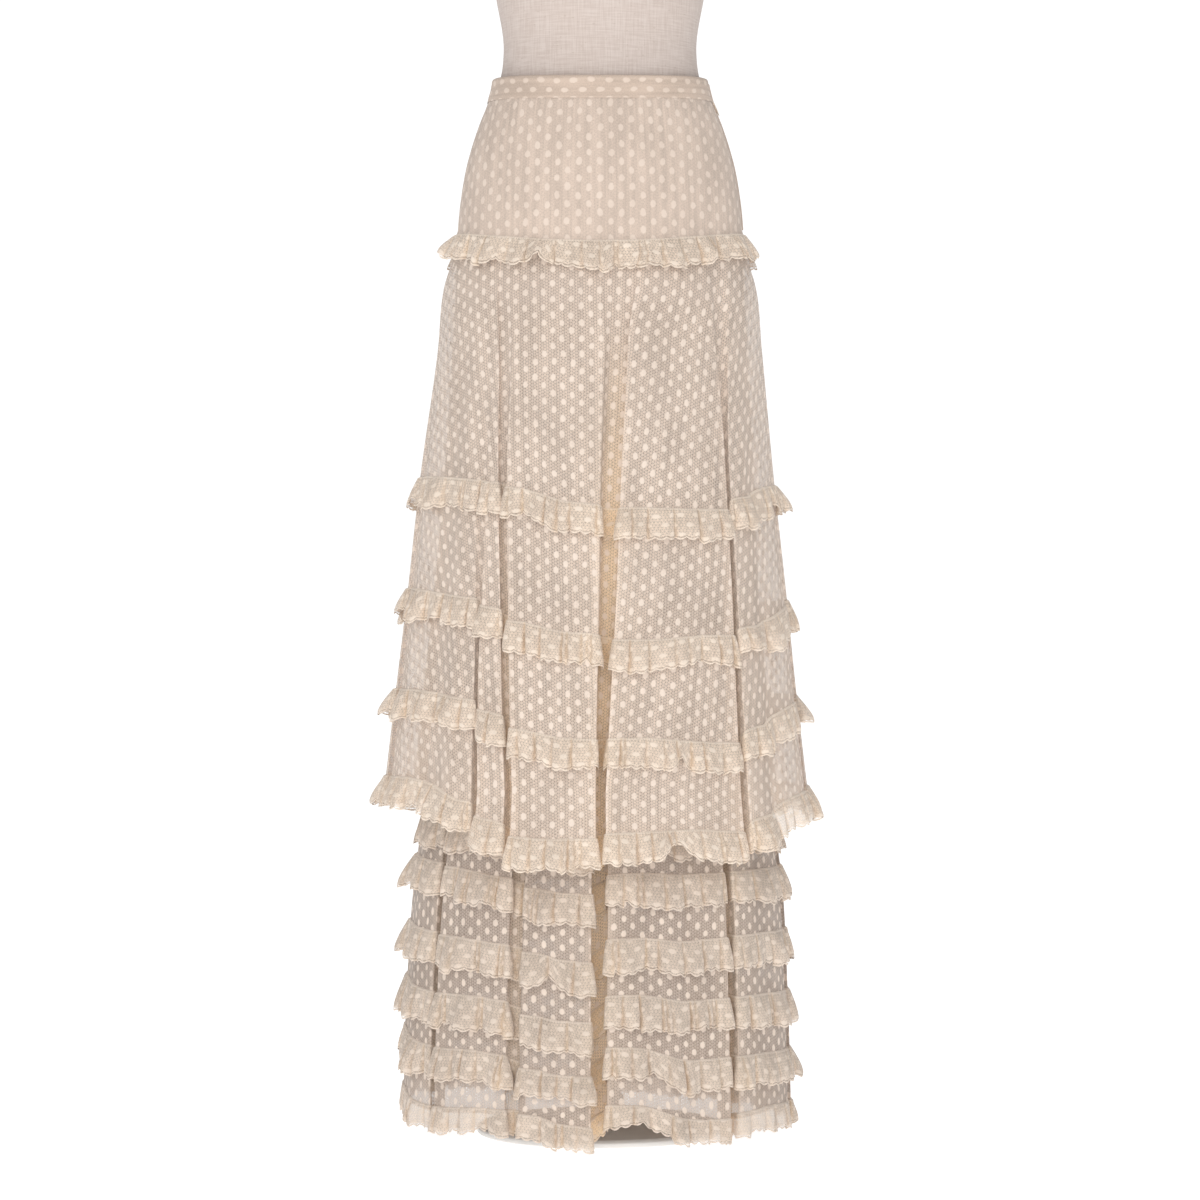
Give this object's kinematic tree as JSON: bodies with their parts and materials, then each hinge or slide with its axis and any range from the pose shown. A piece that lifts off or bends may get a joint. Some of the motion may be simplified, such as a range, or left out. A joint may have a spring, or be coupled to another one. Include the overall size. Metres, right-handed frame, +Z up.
{
  "type": "tiered tulle skirt on a dress form",
  "caption": "Floor-length dotted tulle skirt with a long ruffled overskirt above a narrower ruffled underskirt, worn by a limbless dress form on a round base.",
  "frame": {"origin": "centre of the stand's round base, on the floor", "axes": "+Z up, -Y to the front of the skirt, +X to the viewer's right from the front"},
  "size_m": [0.4886, 0.4467, 1.6633],
  "materials": {
    "dotted_tulle": "cream tulle with small raised oval dots, soft and matt",
    "ruffle_tulle": "the same cream dotted tulle, gathered, with a scalloped picot edge",
    "plain_net": "plain cream net, matt",
    "linen": "pale greyish-beige linen stretched smooth over a hard shell",
    "beech": "clear satin varnish",
    "painted_steel": "off-white powder coat, satin"
  },
  "bodies": {
    "root": {"yoke_front": "dotted_tulle", "yoke_back": "dotted_tulle", "waistband": "dotted_tulle", "overskirt_front": "dotted_tulle", "overskirt_back": "dotted_tulle", "underskirt_front": "dotted_tulle", "underskirt_back": "dotted_tulle", "hip_ruffle": "ruffle_tulle", "overskirt_ruffle_1": "ruffle_tulle", "overskirt_ruffle_2": "ruffle_tulle", "overskirt_ruffle_3": "ruffle_tulle", "overskirt_hem_ruffle": "ruffle_tulle", "underskirt_ruffle_1": "ruffle_tulle", "underskirt_ruffle_2": "ruffle_tulle", "underskirt_ruffle_3": "ruffle_tulle", "underskirt_ruffle_4": "ruffle_tulle", "underskirt_ruffle_5": "ruffle_tulle", "underskirt_hem_ruffle": "ruffle_tulle", "net_underlayer_front": "plain_net", "net_underlayer_back": "plain_net", "form_torso": "linen", "form_neck_cap": "beech", "form_pole": "painted_steel", "form_base": "painted_steel"}
  },
  "joints": []
}
